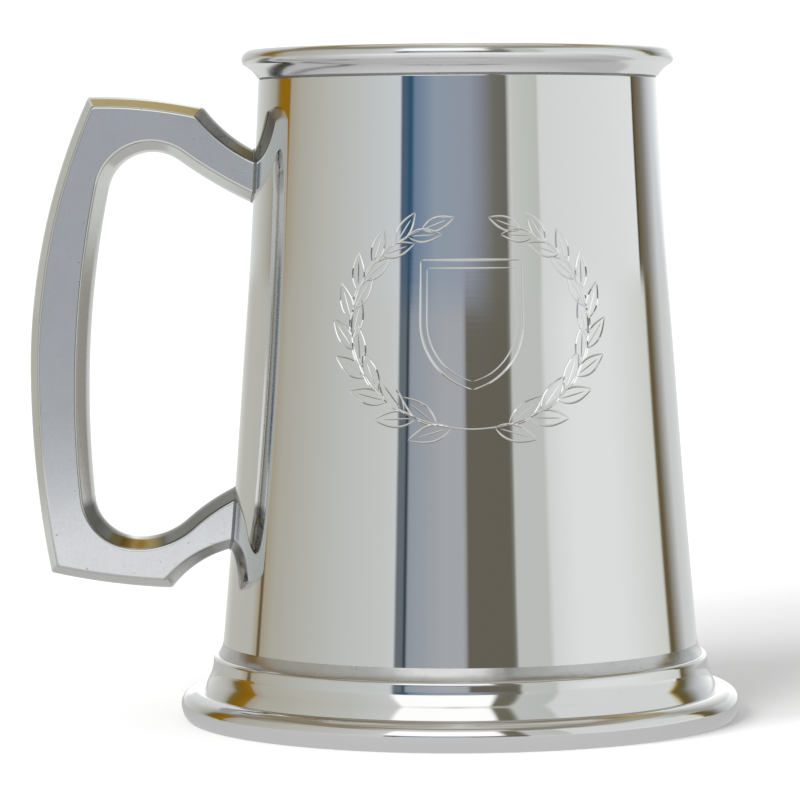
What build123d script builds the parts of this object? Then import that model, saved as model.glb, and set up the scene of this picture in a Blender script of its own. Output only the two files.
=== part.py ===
from build123d import *
import math
import os

# A lidless pewter tankard, built as it is soldered together: a flared barrel, a lip ring on top,
# a moulded foot ring below, a floor disc inside, a cast handle, and the solder between them.
# Millimetres, +Z up. The origin is on the tankard's axis, in the plane that the foot rests on.
# The handle is on the -X side, and its middle plane is the XZ plane.
# Points are written (R, Z): the distance from the axis, then the height.

# --- Driving dimensions ---------------------------------------------------------------------
HEIGHT = 125.0                # from the table to the top of the lip

# Barrel: its outside is one hollow arc, wider at the foot than at the lip.
LEDGE_Z = 8.5                 # the barrel and the floor both stand on the foot ring's ledge
BARREL_TOP = (37.35, 119.45)
BARREL_MIDDLE = (40.45, 66.0)
BARREL_BOTTOM = (45.1, LEDGE_Z)
BARREL_WALL = 1.3

# Lip ring: a cove outside, a rounded edge, and a flared mouth inside.
RIM_SEAM = 0.35               # height of the solder seam between the barrel and the lip ring
RIM_SEAM_RECESS = 0.25        # how far the seam lies back from the outside
RIM_OVERHANG = 0.1            # the ring stands this far proud of the barrel below it
RIM_EDGE_RADIUS = 1.6
RIM_EDGE_R = 40.45            # widest point of the lip
RIM_COVE_END_ANGLE = -52.0    # where the cove meets the round edge, seen from its centre
RIM_COVE_SAG = 0.28
RIM_MOUTH = (38.05, 124.35)   # where the round edge ends and the flared mouth starts
RIM_MOUTH_SAG = 0.25

# Foot ring: a rounded shoulder, a steep band, an ogee wall, and a bead that it rests on.
FOOT_TOP_Z = 12.0
FOOT_SHOULDER_R = 46.4
FOOT_SHOULDER_RADIUS = 0.75
FOOT_BAND_SLOPE = 5.0         # the band below the shoulder, in degrees from upright
OGEE_TOP_Z = 10.3             # where the band ends and the ogee starts
OGEE_TURN = (47.28, 7.6)      # where the ogee turns from hollow to round
BEAD_RADIUS = 2.9             # of its upper part
BEAD_CENTRE = (49.67, 2.6)
BEAD_START_ANGLE = 119.0      # where the ogee runs into the bead, seen from the bead's centre
BEAD_MIDDLE_ANGLE = 60.0      # a point on the bead's upper part
BEAD_ARRIS_ANGLE = 7.0        # where the upper part meets the bead's side in a faint arris
BEAD_FLAT = (48.9, 51.4)      # inner and outer radius of the ring that stands on the table
BEAD_INNER = (47.7, 1.5)      # top of the chamfer inside the bead
FOOT_WALL = 1.8
BORE_GAP = 0.05
LEDGE_INNER_R = 42.3
LEDGE_THICKNESS = 1.6

# Floor and solder fillets
FLOOR_THICKNESS = 1.6
FLOOR_GAP = 0.05
FLOOR_FILLET_LEG = 0.8
FOOT_FILLET_HEIGHT = 2.2
FOOT_FILLET_WIDTH = 0.4

# Handle: the outline at its parting line, which lies in the XZ plane.
HANDLE_THICKNESS = 13.0       # across the two flat side faces
HANDLE_DRAFT_INSET = 2.1      # how far the side faces lie inside the parting line's outline
HANDLE_CORNER_RADIUS = 0.7
HANDLE_EDGE_RADIUS = 0.4
CREST = ((47.5, 114.5), (57.5, 116.15), (69.2, 116.6))
GRIP_BACK = (80.5, 65.0)      # where the back of the grip is upright
SOLE = ((76.9, 27.3), (64.9, 25.2), (54.2, 24.3))
LOWER_ROOT_UNDER = ((54.2, 24.3), (48.8, 29.2), (43.2, 31.6))
LOWER_ARCH_CENTRE = (60.0, 42.65)
LOWER_ARCH_RADIUS = 8.65
LOWER_ARCH_SWEEP = 84.6       # degrees, from its lowest point to the front of the grip
LOWER_ROOT_HOLLOW = (51.1, 37.4)
GRIP_FRONT_TOP = (65.44, 99.5)
UPPER_ARCH_END = (52.18, 104.63)
UPPER_ROOT_OVER = ((34.0, 104.8), (42.3, 109.2), (47.5, 114.5))
ROOT_R = 34.0                 # the outline runs on through the wall, and is coped back to it
LOWER_ROOT_Z = (33.5, 46.2)
UPPER_ROOT_Z = 94.6
CORNER_POINTS = (CREST[0], CREST[2], SOLE[0], SOLE[2])
SOLDER_GAP = 0.35             # between the handle's ends and the barrel
SOLDER_SPREAD = 0.5           # how far the solder runs out past the handle's ends
SAME_POINT = 0.01             # points nearer than this count as one

HANDLE_PLANE = Plane(origin=(0, 0, 0), x_dir=(-1, 0, 0), z_dir=(0, 1, 0))


# --- Shared geometry ------------------------------------------------------------------------
def turned(*edges):
    """A solid turned about the Z axis from a closed chain of edges drawn in (R, Z)."""
    return revolve(Plane.XZ * make_face(edges), axis=Axis.Z)


def barrel_radius(height, offset=0.0):
    """Outside radius of the barrel at a height, moved out by an offset."""
    arc = ThreePointArc(BARREL_TOP, BARREL_MIDDLE, BARREL_BOTTOM)
    centre = arc.arc_center
    return centre.X - (arc.radius**2 - (height - centre.Y) ** 2) ** 0.5 + offset


def barrel_arc(high_z, low_z, offset=0.0):
    """The barrel's outside line between two heights, moved out by an offset."""
    middle_z = (high_z + low_z) / 2
    return ThreePointArc(
        (barrel_radius(high_z, offset), high_z),
        (barrel_radius(middle_z, offset), middle_z),
        (barrel_radius(low_z, offset), low_z),
    )


def on_circle(centre, radius, angle):
    """The point on a circle in (R, Z) at an angle in degrees from the outward direction."""
    direction = Vector(radius, 0).rotate(Axis.Z, angle)
    return (centre[0] + direction.X, centre[1] + direction.Y)


# --- Body -----------------------------------------------------------------------------------
def make_barrel():
    """The body wall, open at both ends."""
    outside = barrel_arc(BARREL_TOP[1], LEDGE_Z)
    inside = barrel_arc(BARREL_TOP[1], LEDGE_Z, -BARREL_WALL)
    return turned(outside, inside, Line(outside @ 0, inside @ 0), Line(outside @ 1, inside @ 1))


def make_rim_ring():
    """The lip: its underside is a cove and its edge is round."""
    base_z = BARREL_TOP[1] + RIM_SEAM
    base_outer = (BARREL_TOP[0] + RIM_OVERHANG, base_z)
    base_inner = (BARREL_TOP[0] - BARREL_WALL, base_z)
    centre = (RIM_EDGE_R - RIM_EDGE_RADIUS, HEIGHT - RIM_EDGE_RADIUS)
    cove_end = on_circle(centre, RIM_EDGE_RADIUS, RIM_COVE_END_ANGLE)
    widest = on_circle(centre, RIM_EDGE_RADIUS, 0)
    crown = on_circle(centre, RIM_EDGE_RADIUS, 90)
    return turned(
        Line(base_inner, base_outer),
        SagittaArc(base_outer, cove_end, RIM_COVE_SAG),
        ThreePointArc(cove_end, widest, crown),
        TangentArc(crown, RIM_MOUTH, tangent=(-1, 0)),
        SagittaArc(RIM_MOUTH, base_inner, -RIM_MOUTH_SAG),
    )


def make_rim_solder():
    """The seam between the barrel and the lip ring, a little back from both surfaces."""
    low_z = BARREL_TOP[1]
    outer_r = BARREL_TOP[0] - RIM_SEAM_RECESS
    inner_r = BARREL_TOP[0] - BARREL_WALL + RIM_SEAM_RECESS
    ring = Cylinder(outer_r, RIM_SEAM) - Cylinder(inner_r, RIM_SEAM)
    return Pos(0, 0, low_z + RIM_SEAM / 2) * ring


# --- Foot and floor -------------------------------------------------------------------------
def make_foot_ring():
    """The hollow moulded foot, with a ledge inside that carries the barrel and the floor."""
    bore_r = BARREL_BOTTOM[0] + BORE_GAP
    shoulder_in = (FOOT_SHOULDER_R - FOOT_SHOULDER_RADIUS, FOOT_TOP_Z)
    shoulder_centre = (shoulder_in[0], FOOT_TOP_Z - FOOT_SHOULDER_RADIUS)
    shoulder_out = on_circle(shoulder_centre, FOOT_SHOULDER_RADIUS, FOOT_BAND_SLOPE)
    band_lean = math.tan(math.radians(FOOT_BAND_SLOPE))
    ogee_top = (shoulder_out[0] + band_lean * (shoulder_out[1] - OGEE_TOP_Z), OGEE_TOP_Z)
    bead_start = on_circle(BEAD_CENTRE, BEAD_RADIUS, BEAD_START_ANGLE)
    bead_middle = on_circle(BEAD_CENTRE, BEAD_RADIUS, BEAD_MIDDLE_ANGLE)
    bead_arris = on_circle(BEAD_CENTRE, BEAD_RADIUS, BEAD_ARRIS_ANGLE)
    underside_z = LEDGE_Z - LEDGE_THICKNESS
    lean = (bead_start[0] - ogee_top[0]) / (ogee_top[1] - bead_start[1])
    inner_top = (bead_start[0] - FOOT_WALL - lean * (underside_z - bead_start[1]), underside_z)
    hollow = TangentArc(ogee_top, OGEE_TURN, tangent=(band_lean, -1))
    return turned(
        Line((bore_r, FOOT_TOP_Z), shoulder_in),
        ThreePointArc(
            shoulder_in,
            on_circle(shoulder_centre, FOOT_SHOULDER_RADIUS, 45),
            shoulder_out,
        ),
        Line(shoulder_out, ogee_top),
        hollow,
        TangentArc(OGEE_TURN, bead_start, tangent=hollow % 1),
        ThreePointArc(bead_start, bead_middle, bead_arris),
        TangentArc(bead_arris, (BEAD_FLAT[1], 0), tangent=(0, -1)),
        Line((BEAD_FLAT[1], 0), (BEAD_FLAT[0], 0)),
        Line((BEAD_FLAT[0], 0), BEAD_INNER),
        Line(BEAD_INNER, inner_top),
        Line(inner_top, (LEDGE_INNER_R, underside_z)),
        Line((LEDGE_INNER_R, underside_z), (LEDGE_INNER_R, LEDGE_Z)),
        Line((LEDGE_INNER_R, LEDGE_Z), (bore_r, LEDGE_Z)),
        Line((bore_r, LEDGE_Z), (bore_r, FOOT_TOP_Z)),
    )


def make_foot_solder():
    """The fillet that closes the gap between the foot's top and the barrel."""
    high_z = FOOT_TOP_Z + FOOT_FILLET_HEIGHT
    against_barrel = barrel_arc(high_z, FOOT_TOP_Z)
    outer = (BARREL_BOTTOM[0] + BORE_GAP + FOOT_FILLET_WIDTH, FOOT_TOP_Z)
    return turned(
        against_barrel,
        Line(against_barrel @ 1, outer),
        Line(outer, against_barrel @ 0),
    )


def make_floor_disc():
    """The floor of the drinking space."""
    top_z = LEDGE_Z + FLOOR_THICKNESS
    radius = barrel_radius(top_z, -BARREL_WALL) - FLOOR_GAP
    return Pos(0, 0, LEDGE_Z + FLOOR_THICKNESS / 2) * Cylinder(radius, FLOOR_THICKNESS)


def make_floor_solder():
    """The fillet that seals the floor to the inside of the barrel."""
    low_z = LEDGE_Z + FLOOR_THICKNESS
    against_barrel = barrel_arc(low_z + FLOOR_FILLET_LEG, low_z, -BARREL_WALL)
    inner = (barrel_radius(low_z, -BARREL_WALL - FLOOR_FILLET_LEG), low_z)
    return turned(
        against_barrel,
        Line(against_barrel @ 1, inner),
        Line(inner, against_barrel @ 0),
    )


# --- Handle ---------------------------------------------------------------------------------
def handle_outline():
    """The handle's closed outline, running on through the barrel wall at both ends."""
    crest = ThreePointArc(*CREST)
    back_top = TangentArc(GRIP_BACK, CREST[2], tangent=(0, 1))
    back_low = TangentArc(GRIP_BACK, SOLE[0], tangent=(0, -1))
    sole = ThreePointArc(*SOLE)
    under = ThreePointArc(*LOWER_ROOT_UNDER)
    under_root = TangentArc(under @ 1, (ROOT_R, LOWER_ROOT_Z[0]), tangent=under % 1)
    low_arch = CenterArc(LOWER_ARCH_CENTRE, LOWER_ARCH_RADIUS, -90, LOWER_ARCH_SWEEP)
    front = TangentArc(low_arch @ 1, GRIP_FRONT_TOP, tangent=low_arch % 1)
    hollow = TangentArc(low_arch @ 0, LOWER_ROOT_HOLLOW, tangent=-(low_arch % 0))
    over_root = TangentArc(hollow @ 1, (ROOT_R, LOWER_ROOT_Z[1]), tangent=hollow % 1)
    high_arch = TangentArc(front @ 1, UPPER_ARCH_END, tangent=front % 1)
    arch_root = TangentArc(high_arch @ 1, (ROOT_R, UPPER_ROOT_Z), tangent=high_arch % 1)
    shoulder = ThreePointArc(*UPPER_ROOT_OVER)
    low_end = Line(under_root @ 1, over_root @ 1)
    high_end = Line(arch_root @ 1, shoulder @ 0)
    outer = [shoulder, crest, back_top, back_low, sole, under, under_root, low_end]
    inner = [over_root, hollow, low_arch, front, high_arch, arch_root, high_end]
    return Wire(outer + inner)


def is_corner(edge):
    """Whether a sloping edge of the handle's half runs up from a sharp corner of its outline."""
    base = min((edge @ 0, edge @ 1), key=lambda point: point.Z)
    return any((Vector(base.X, base.Y) - Vector(*corner)).length < SAME_POINT for corner in CORNER_POINTS)


def make_handle_blank(spread=0.0):
    """The handle before its ends are coped, grown all round by a spread.

    Its edges lean in from the parting line to two flat side faces.
    """
    outline = handle_outline()
    if spread:
        outline = outline.offset_2d(spread, kind=Kind.INTERSECTION)
    side_outline = outline.offset_2d(-HANDLE_DRAFT_INSET, kind=Kind.INTERSECTION)
    side_z = HANDLE_THICKNESS / 2 + spread
    half = loft([make_face(outline), Pos(0, 0, side_z) * make_face(side_outline)], ruled=True)
    if not spread:
        sloping = half.edges().filter_by(lambda edge: abs((edge % 0.5).Z) > 0.5)
        half = fillet(sloping.filter_by(is_corner), HANDLE_CORNER_RADIUS)
        half = fillet(half.faces().sort_by(Axis.Z)[-1].edges(), HANDLE_EDGE_RADIUS)
    return HANDLE_PLANE * (half + mirror(half, about=Plane.XY))


def barrel_plug(offset):
    """The barrel filled in and grown by an offset, which the handle's ends are cut against."""
    outside = barrel_arc(BARREL_TOP[1], LEDGE_Z, offset)
    high_axis = (0, BARREL_TOP[1])
    low_axis = (0, LEDGE_Z)
    return turned(
        outside,
        Line(high_axis, outside @ 0),
        Line(low_axis, outside @ 1),
        Line(high_axis, low_axis),
    )


def make_handle_and_solder():
    """The handle with its coped ends, and the solder under its lower and its upper end."""
    cope = barrel_plug(SOLDER_GAP)
    handle = make_handle_blank() - cope
    film = cope - barrel_plug(0.0)
    pads = (film & make_handle_blank(SOLDER_SPREAD)).solids().sort_by(Axis.Z)
    return handle, pads[0], pads[1]


def main():
    """Write every part to its own file."""
    os.makedirs("parts", exist_ok=True)
    handle, lower_solder, upper_solder = make_handle_and_solder()
    parts = {
        "barrel": make_barrel(),
        "rim_ring": make_rim_ring(),
        "rim_solder": make_rim_solder(),
        "foot_ring": make_foot_ring(),
        "foot_solder": make_foot_solder(),
        "floor_disc": make_floor_disc(),
        "floor_solder": make_floor_solder(),
        "handle": handle,
        "upper_handle_solder": upper_solder,
        "lower_handle_solder": lower_solder,
    }
    for name, shape in parts.items():
        export_step(shape, f"parts/{name}.step")


main()
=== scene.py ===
import math

import bpy
import numpy as np
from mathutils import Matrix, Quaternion, Vector
from mathutils.geometry import delaunay_2d_cdt
from numpy.linalg import norm


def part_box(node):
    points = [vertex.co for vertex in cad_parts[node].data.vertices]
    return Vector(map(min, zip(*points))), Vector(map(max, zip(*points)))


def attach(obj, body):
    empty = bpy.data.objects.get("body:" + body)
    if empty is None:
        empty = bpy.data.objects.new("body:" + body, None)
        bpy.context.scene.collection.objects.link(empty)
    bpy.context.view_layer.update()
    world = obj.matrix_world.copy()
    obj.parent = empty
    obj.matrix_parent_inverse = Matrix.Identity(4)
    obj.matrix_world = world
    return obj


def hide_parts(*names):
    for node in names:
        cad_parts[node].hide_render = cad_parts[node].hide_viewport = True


# Looks for a lidless pewter tankard. Every visible surface is rebuilt here as a dense mesh with exact
# normals, because polished metal shows each flat facet. Lengths are millimetres until a mesh is made.
# Outlines are drawn as (r, z): the distance from the tankard's axis, then the height above the table.

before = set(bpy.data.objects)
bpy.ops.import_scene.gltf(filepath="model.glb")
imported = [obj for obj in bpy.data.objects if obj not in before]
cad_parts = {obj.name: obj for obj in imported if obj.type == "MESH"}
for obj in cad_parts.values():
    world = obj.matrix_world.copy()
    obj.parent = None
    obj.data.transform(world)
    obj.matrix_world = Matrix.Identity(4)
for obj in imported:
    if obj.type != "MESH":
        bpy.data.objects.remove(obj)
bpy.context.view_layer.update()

MM = 0.001
BODY = "root"


def cad_box_mm(node):
    """Lowest and highest corner of a CAD node, in millimetres."""
    low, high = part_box(node)
    return low / MM, high / MM


# --- Sizes, taken from the frame where it gives them ---
barrel_low, barrel_high = cad_box_mm("barrel")
rim_low, rim_high = cad_box_mm("rim_ring")
foot_high = cad_box_mm("foot_ring")[1]
floor_high = cad_box_mm("floor_disc")[1]
handle_low, handle_high = cad_box_mm("handle")

LEDGE_Z = barrel_low.z
BARREL_TOP = (37.35, barrel_high.z)
BARREL_MIDDLE = (40.45, 66.0)
BARREL_BOTTOM = (barrel_high.x, LEDGE_Z)
BARREL_WALL = 1.3
AROUND = 288  # facets round a turned piece
ROW = 1.5  # usual distance between points along an outline

RIM_EDGE_R = rim_high.x  # the lip's widest point
RIM_EDGE_RADIUS = 1.6
RIM_OVERHANG = 0.1  # the lip ring stands this far proud of the barrel below it
RIM_COVE_END_ANGLE = -52.0  # where the cove meets the round edge, seen from its centre
RIM_COVE_SAG = 0.28
RIM_MOUTH = (38.05, rim_high.z - 0.65)  # where the round edge meets the flared mouth
RIM_MOUTH_SAG = 0.25
SEAM_RECESS = 0.25  # how far the seam lies back from the outside and the inside
SEAM_SAG = 0.06

FOOT_TOP_Z = foot_high.z
FOOT_SHOULDER_R = 46.4
FOOT_SHOULDER_RADIUS = 0.75
FOOT_BAND_SLOPE = 5.0  # the band below the shoulder, in degrees from upright
OGEE_TOP_Z = 10.3  # where the band ends and the ogee starts
OGEE_TURN = (47.28, 7.6)  # where the ogee turns from hollow to round
BEAD_RADIUS = 2.9
BEAD_CENTRE = (49.67, 2.6)
BEAD_START_ANGLE = 119.0  # where the ogee runs into the bead, seen from the bead's centre
BEAD_ARRIS_ANGLE = 7.0  # where the bead's upper part meets its side in a faint arris
BEAD_FLAT = (48.9, 51.4)  # inner and outer radius of the ring that stands on the table
BEAD_INNER = (47.7, 1.5)  # top of the chamfer inside the bead
FOOT_INNER_TOP = (45.93, 6.9)  # the outer corner of the hollow under the ledge
LEDGE_INNER_R = 42.3
BORE_GAP = 0.05

FLOOR_TOP_Z = floor_high.z
FLOOR_FILLET_LEG = 0.8
FLOOR_FILLET_SAG = 0.12
FOOT_FILLET_HEIGHT = 2.2
FOOT_FILLET_WIDTH = 0.4
FOOT_FILLET_SAG = 0.1
SOLDER_GAP = 0.35  # between the handle's ends and the barrel

SOFTENING = 0.15  # how far a sharp corner of an outline is cut back before it is rounded
SHARPEST = 6.0  # degrees: a smaller turn doesn't count as a corner
CORNER_SHARES = (0.17, 0.34, 0.5, 0.66, 0.83)  # points along the curve that rounds a corner
ON_AXIS = 1e-6  # a radius below this is a pole


# --- Outlines ---
def circle_through(start, middle, end):
    """Centre and radius of the circle through three points."""
    (ax, ay), (bx, by), (cx, cy) = start, middle, end
    d = 2 * (ax * (by - cy) + bx * (cy - ay) + cx * (ay - by))
    a2, b2, c2 = ax * ax + ay * ay, bx * bx + by * by, cx * cx + cy * cy
    ux = (a2 * (by - cy) + b2 * (cy - ay) + c2 * (ay - by)) / d
    uy = (a2 * (cx - bx) + b2 * (ax - cx) + c2 * (bx - ax)) / d
    return (ux, uy), math.hypot(ax - ux, ay - uy)


def line(start, end, step=ROW):
    """Points on a straight line."""
    start, end = np.array(start, float), np.array(end, float)
    count = max(1, math.ceil(norm(end - start) / step))
    return start + (end - start) * np.linspace(0, 1, count + 1)[:, None]


def lines(step, *corners):
    """Straight spans from corner to corner."""
    return [line(start, end, step) for start, end in zip(corners[:-1], corners[1:])]


def arc_about(centre, radius, first, last, step=0.25):
    """Points on an arc from its centre, radius, and first and last angle in degrees."""
    count = max(2, math.ceil(radius * math.radians(abs(last - first)) / step))
    angle = np.radians(np.linspace(first, last, count + 1))
    return np.array(centre) + radius * np.c_[np.cos(angle), np.sin(angle)]


def arc_through(start, middle, end, step=0.5):
    """Points on the arc through three points."""
    centre, radius = circle_through(start, middle, end)
    first, last = (math.degrees(math.atan2(y - centre[1], x - centre[0])) for x, y in (start, end))
    clockwise = quarter_left(np.subtract(middle, start)) @ np.subtract(end, start) < 0
    if clockwise != (last < first):
        last += -360 if clockwise else 360
    return arc_about(centre, radius, first, last, step)


def quarter_left(vectors):
    """Plane vectors turned a quarter to the left."""
    return np.stack((-vectors[..., 1], vectors[..., 0]), -1)


def arc_sagging(start, end, sag, step=0.25):
    """Points on an arc whose middle lies a sag to the left of its chord."""
    start, end = np.array(start, float), np.array(end, float)
    left = quarter_left(end - start) / norm(end - start)
    return arc_through(start, (start + end) / 2 + left * sag, end, step)


def arc_leaving(start, tangent, end, step=0.5):
    """Points on the arc that leaves its start along a tangent and reaches its end."""
    start, end = np.array(start, float), np.array(end, float)
    tangent = np.array(tangent, float) / norm(tangent)
    chord = end - start
    turn = math.atan2(chord @ quarter_left(tangent), chord @ tangent)
    sag = math.tan(turn / 2) * norm(chord) / 2
    return arc_sagging(start, end, -sag, step)


def leaving(points):
    """The direction in which an arc ends."""
    centre, _ = circle_through(points[-3], points[-2], points[-1])
    out = points[-1] - np.array(centre)
    along = quarter_left(out) / norm(out)
    return along * math.copysign(1, along @ (points[-1] - points[-2]))


def tangents(points, closed=False):
    """Unit tangents along a chain of unevenly spaced points."""
    if closed:
        padded = np.vstack((points[-1:], points, points[:1]))
    else:
        padded = np.vstack((2 * points[0] - points[1], points, 2 * points[-1] - points[-2]))
    back = padded[1:-1] - padded[:-2]
    ahead = padded[2:] - padded[1:-1]
    ratio = (norm(back, axis=1) / norm(ahead, axis=1))[:, None]
    tangent = ahead * ratio + back / ratio
    return tangent / norm(tangent, axis=1)[:, None]


def trimmed(points, cut):
    """A chain of points cut back from its end by a length, with one more point close to the new end."""
    points = [np.array(p, float) for p in points]
    rest = cut
    while len(points) > 2 and norm(points[-1] - points[-2]) <= rest:
        rest -= norm(points[-1] - points[-2])
        points.pop()
    last = points[-1] - points[-2]
    end = points[-2] + last * max(0.05, 1 - rest / norm(last))
    length = norm(end - points[-2])
    points[-1:] = [end] if length < 2 * cut else [end - last / norm(last) * cut / 2, end]
    return np.array(points)


def joined(spans, softening=SOFTENING, closed=True):
    """One chain from several spans, with each sharp corner between them replaced by a small curve."""
    spans = [np.array(span, float) for span in spans]
    count = len(spans)
    corners = {}
    for i in range(count if closed else count - 1):
        before, after = spans[i], spans[(i + 1) % count]
        into, out = before[-1] - before[-2], after[1] - after[0]
        cosine = into @ out / (norm(into) * norm(out))
        if cosine < math.cos(math.radians(SHARPEST)):
            corners[i] = before[-1].copy()
    for i in corners:
        after = (i + 1) % count
        spans[i] = trimmed(spans[i], softening)
        spans[after] = trimmed(spans[after][::-1], softening)[::-1]
    chain = []
    for i, span in enumerate(spans):
        last_open = not closed and i == count - 1
        chain += list(span if i in corners or last_open else span[:-1])
        if i in corners:
            start, end = span[-1], spans[(i + 1) % count][0]
            for t in CORNER_SHARES:
                chain.append((1 - t) ** 2 * start + 2 * t * (1 - t) * corners[i] + t * t * end)
    return np.array(chain)


BARREL_CENTRE, BARREL_CURVE = circle_through(BARREL_TOP, BARREL_MIDDLE, BARREL_BOTTOM)


def barrel_r(height):
    """Outside radius of the barrel at a height."""
    return BARREL_CENTRE[0] - np.sqrt(BARREL_CURVE**2 - (height - BARREL_CENTRE[1]) ** 2)


def barrel_line(first_z, last_z, offset=0.0):
    """Points on the barrel's outside line between two heights, moved out by an offset."""
    count = math.ceil(abs(last_z - first_z) / ROW)
    heights = np.linspace(first_z, last_z, count + 1)
    return np.c_[barrel_r(heights) + offset, heights]


# --- Meshes ---
def add_object(name, data):
    """A new object in the scene."""
    thing = bpy.data.objects.new(name, data)
    bpy.context.scene.collection.objects.link(thing)
    return thing


def make_piece(name, vertices, faces, loop_normals, materials, node, face_materials=None):
    """A smooth mesh in metres, with exact normals where they are given, in place of its CAD node."""
    mesh = bpy.data.meshes.new(name)
    mesh.from_pydata((np.asarray(vertices) * MM).tolist(), [], faces)
    mesh.polygons.foreach_set("use_smooth", [True] * len(mesh.polygons))
    if face_materials is not None:
        mesh.polygons.foreach_set("material_index", face_materials)
    mesh.update()
    if loop_normals is not None:
        mesh.normals_split_custom_set(np.asarray(loop_normals).tolist())
    for material in materials:
        mesh.materials.append(material)
    piece = add_object(name, mesh)
    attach(piece, BODY)
    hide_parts(node)


def quads(grid):
    """The corners of every cell in a grid of vertex numbers."""
    corners = (grid[:-1, :-1], grid[:-1, 1:], grid[1:, 1:], grid[1:, :-1])
    return np.stack(corners, -1).reshape(-1, 4).tolist()


def on_circle(angle, r, z):
    """The 3-D point at an angle round the axis. Angle 0 faces the front (-Y), and +90 degrees is +X."""
    return np.stack((r * np.sin(angle), -r * np.cos(angle), z + 0 * angle), axis=-1)


class Turned:
    """Vertices, faces and normals of a closed outline turned about the Z axis.

    The outline runs so that its outer side is on the left. Points on the axis become one pole vertex.
    """

    def __init__(self, outline, skip=None):
        count = len(outline)
        normal = quarter_left(tangents(outline, closed=True))
        angle = np.radians(np.arange(AROUND) * 360 / AROUND - 180)
        self.vertices = []
        self.normals = []
        self.index = np.zeros((count, AROUND), int)
        for i, ((r, z), (nr, nz)) in enumerate(zip(outline, normal)):
            pole = r < ON_AXIS
            used = angle[:1] if pole else angle
            start = len(self.vertices)
            self.vertices += list(on_circle(used, r, z))
            direction = np.c_[nr * np.sin(used), -nr * np.cos(used), nz + 0 * used]
            self.normals += [(0, 0, math.copysign(1, nz))] if pole else list(direction)
            self.index[i] = start if pole else start + np.arange(AROUND)
        self.faces = []
        for i in range(count):
            ahead = (i + 1) % count
            if outline[i][0] < ON_AXIS and outline[ahead][0] < ON_AXIS:
                continue
            for j in range(AROUND):
                if skip and skip(i, j):
                    continue
                beside = (j + 1) % AROUND
                corners = self.index[(i, ahead, ahead, i), (j, j, beside, beside)]
                self.faces.append(list(dict.fromkeys(int(c) for c in corners)))

    def loop_normals(self):
        """The vertex normals, repeated at every face corner."""
        return [self.normals[v] for face in self.faces for v in face]


def turned_piece(name, outline, material, node):
    """A piece turned from a closed outline."""
    body = Turned(outline)
    make_piece(name, body.vertices, body.faces, body.loop_normals(), [material], node)


# --- Engraving ---
# A plain laurel wreath round a blank shield. It is drawn flat, in (u, z): u is measured round the
# barrel at a fixed radius.
ENGRAVING_R = 41.0
ENGRAVING_CENTRE = np.array((math.radians(3.5) * ENGRAVING_R, 75.0))
WREATH_SIZE = (23.0, 18.5)  # half width and half height of the stems' ellipse
WREATH_FIRST = -101.0  # angles on the ellipse where a stem starts and ends
WREATH_LAST = 66.0
STEM_POINTS = 70
LEAF_FIRST = -77.0
LEAF_STEP = 16.5
LEAF_PAIRS = 9
LEAF_LENGTH = 8.2
LEAF_WIDTH = 2.9
LEAF_SHRINK = 0.22  # how much smaller the leaves get towards the tip
LEAF_SPREAD = 27.0  # degrees between a leaf and its stem
TIP_LEAF = 0.8  # size of the leaf at the tip
RIB = (0.1, 0.78)  # the part of a leaf's length that its midrib covers
STEM_WIDTH, LEAF_EDGE_WIDTH, RIB_WIDTH = 0.9, 0.8, 0.55  # shares of a full groove
SHIELD_SIZE = (9.5, 11.5)  # half width and half height
SHIELD_INSET = (1.2, 1.44)  # of the shield's inner line, sideways and upwards
SHIELD_WAIST = 0.05  # where the sides start to curve in, as a share of the half height
SHIELD_STEP = 0.8
SHIELD_THIN_END = 0.6
INNER_LINE_WIDTH = 0.6
GROOVE_HALF_WIDTH = 0.25
GROOVE_SLOPE = 0.65  # how steep a groove's sides are
GROOVE_CLEARANCE = 0.35  # grid points nearer to a groove than this are left out
GROOVE_START = 0.004  # a facet deeper in a groove than this gets its own flat normal
PATCH_MARGIN = 2.5
NO_AREA = 1e-9  # a facet smaller than this is left out


def tapering(points, half_width, thin_end=0.0):
    """A groove along a chain of points. It is widest in the middle and runs out at its ends."""
    share = np.linspace(0, 1, len(points))
    width = half_width * np.clip(np.sin(np.pi * share) ** 0.4, thin_end, 1)
    width[[0, -1]] = 0
    return np.asarray(points), width


def leaf_grooves(base, direction, length, width):
    """The two edges and the midrib of one leaf."""
    along = np.array((math.cos(direction), math.sin(direction)))
    across = quarter_left(along)
    share = np.linspace(0, 1, 13)[:, None]
    bulge = width / 2 * np.sin(np.pi * share**0.85)
    spine = base + along * length * share
    rib = base + along * length * np.linspace(*RIB, 8)[:, None]
    return [
        tapering(spine + across * bulge, GROOVE_HALF_WIDTH * LEAF_EDGE_WIDTH),
        tapering(spine - across * bulge, GROOVE_HALF_WIDTH * LEAF_EDGE_WIDTH),
        tapering(rib, GROOVE_HALF_WIDTH * RIB_WIDTH),
    ]


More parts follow.
